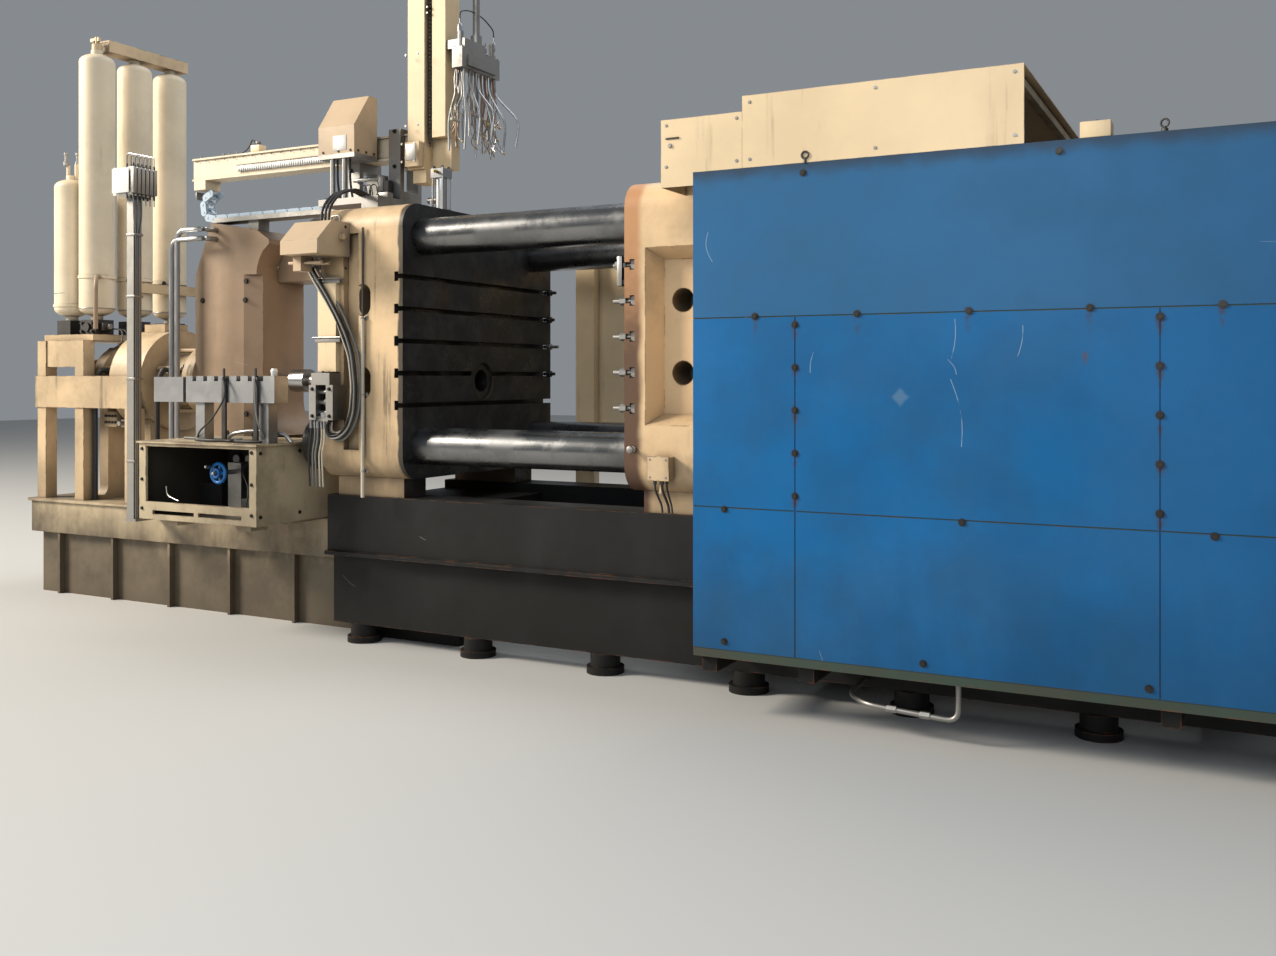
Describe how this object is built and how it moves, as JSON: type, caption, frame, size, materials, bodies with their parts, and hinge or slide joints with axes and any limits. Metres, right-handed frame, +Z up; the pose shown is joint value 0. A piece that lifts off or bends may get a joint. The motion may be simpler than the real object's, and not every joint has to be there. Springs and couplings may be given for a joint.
{
  "type": "die casting machine",
  "caption": "Horizontal cold-chamber die casting machine: platens on tie bars, shot end with accumulators, spray robot and a guarded clamp end.",
  "frame": {"origin": "on the floor, on the machine's centre line, below the fixed platen's die face", "axes": "+X along the machine to the clamp end, +Y away from the operator, +Z up"},
  "size_m": [9.89, 2.4, 4.9],
  "materials": {
    "cream_paint": "satin",
    "tan_paint": "satin",
    "blue_paint": "satin",
    "green_paint": "satin",
    "dark_paint": "satin",
    "dark_steel": "satin",
    "bright_steel": "polished",
    "grey_steel": "satin",
    "aluminium": "satin",
    "black_rubber": "matt",
    "wheel_blue": "gloss"
  },
  "bodies": {
    "machine": {"bed_rail_front": "dark_paint", "bed_rail_rear": "dark_paint", "bed_crossbeams": "dark_paint", "shot_bed": "cream_paint", "fixed_platen": "cream_paint", "link_housing": "cream_paint", "tie_bars": "bright_steel", "tie_bar_nuts": "dark_steel", "clamp_cylinder": "cream_paint", "c_frame": "tan_paint", "shot_sleeve": "dark_steel", "plunger_rod": "bright_steel", "shot_cylinder": "cream_paint", "shot_stand": "cream_paint", "accumulators_tall": "cream_paint", "accumulator_short": "cream_paint", "accumulator_straps": "cream_paint", "accumulator_stand": "cream_paint", "accumulator_manifold": "dark_steel", "lube_distributor": "cream_paint", "lube_post": "grey_steel", "shot_pipes": "bright_steel", "spray_guide": "aluminium", "cable_chain": "aluminium", "upper_motor_cover": "tan_paint", "lower_motor_cover": "tan_paint", "core_cylinder": "bright_steel", "platen_hoses": "black_rubber", "cable_duct": "cream_paint", "valve_cabinet": "cream_paint", "ladle_rail": "aluminium", "valve_unit": "grey_steel", "guard_outriggers": "dark_paint", "guard_posts": "dark_paint", "guard_rails": "green_paint", "guard_panels_front": "blue_paint", "guard_panels_rear": "blue_paint", "small_top_cover": "cream_paint", "large_top_cover": "cream_paint", "rear_screen": "cream_paint", "wheel_bracket": "grey_steel"},
    "clamp_carriage": {"moving_platen": "cream_paint", "clamp_ram": "bright_steel", "die_clamps": "dark_steel", "junction_box": "cream_paint"},
    "spray_arm": {"spray_beam": "cream_paint", "spray_mast": "cream_paint", "spray_head": "grey_steel", "spray_tubes": "dark_steel"},
    "wheel": {"handwheel": "wheel_blue"}
  },
  "joints": [
    {"name": "clamp_slide", "type": "slide", "parent": "machine", "child": "clamp_carriage", "axis": [1, 0, 0], "range_m": [-0.85, 0]},
    {"name": "spray_slide", "type": "slide", "parent": "machine", "child": "spray_arm", "axis": [1, 0, 0], "range_m": [0, 0.9]},
    {"name": "wheel_spin", "type": "hinge", "parent": "machine", "child": "wheel", "pos_m": [-1.468, -0.96, 1.08], "axis": [0, 1, 0], "continuous": true}
  ]
}
